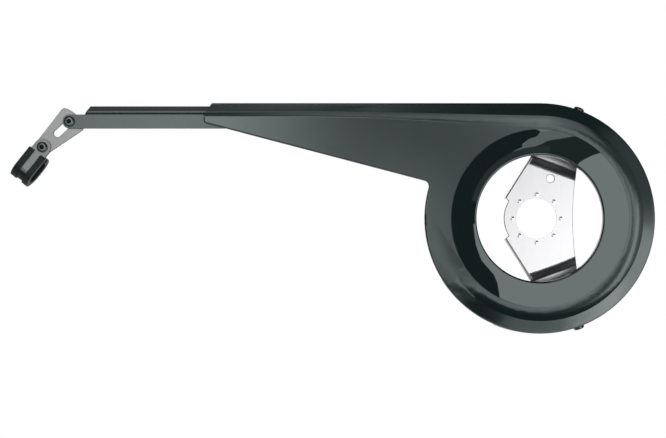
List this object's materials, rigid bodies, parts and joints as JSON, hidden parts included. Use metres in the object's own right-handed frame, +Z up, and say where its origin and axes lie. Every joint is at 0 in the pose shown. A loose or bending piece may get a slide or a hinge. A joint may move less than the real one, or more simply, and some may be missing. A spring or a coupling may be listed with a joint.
{
  "type": "bicycle chain guard",
  "caption": "Round chain guard disc with a tapered rearward wing, a telescopic arm, a slotted link and a rubber-lined stay clamp, on a folded bottom bracket plate.",
  "frame": {"origin": "on the bottom bracket axis, in the inboard face of the bracket", "axes": "+X forward on the bicycle, +Y inboard along the bottom bracket axis, +Z up"},
  "size_m": [0.5741, 0.0325, 0.2064],
  "materials": {
    "shell_plastic": "satin moulded",
    "gloss_plastic": "high gloss",
    "arm_plastic": "satin moulded",
    "stainless_link": "rolled sheet",
    "stainless_band": "rolled strip",
    "polished_steel": "polished sheet",
    "rubber": "matte",
    "black_steel": "black oxide",
    "zinc_steel": "zinc plated"
  },
  "bodies": {
    "guard": {"guard_shell": "shell_plastic", "inner_ring": "gloss_plastic", "bb_bracket": "polished_steel", "rim_screw_top": "black_steel", "rim_screw_bottom": "black_steel", "rim_nut_top": "zinc_steel", "rim_nut_bottom": "zinc_steel"},
    "arm": {"extension_arm": "arm_plastic"},
    "link_fastener": {"link_screw": "black_steel", "link_washer": "zinc_steel", "link_nut": "zinc_steel"},
    "link": {"link_plate": "stainless_link"},
    "clamp": {"clamp_band": "stainless_band", "clamp_rubber": "rubber", "clamp_screw": "black_steel", "clamp_washer": "zinc_steel", "clamp_nut": "zinc_steel"}
  },
  "joints": [
    {"name": "arm_slide", "type": "slide", "parent": "guard", "child": "arm", "axis": [-1, 0, 0], "range_m": [-0.02, 0.025]},
    {"name": "link_turn", "type": "hinge", "parent": "arm", "child": "link_fastener", "pos_m": [-0.4162, -0.016, 0.0859], "axis": [0, -1, 0], "range_deg": [-40, 40]},
    {"name": "link_slide", "type": "slide", "parent": "link_fastener", "child": "link", "axis": [0.7322, 0, 0.6811], "range_m": [0, 0.015]},
    {"name": "clamp_turn", "type": "hinge", "parent": "link", "child": "clamp", "pos_m": [-0.4406, -0.014, 0.0632], "axis": [0, -1, 0], "range_deg": [-40, 40]}
  ]
}
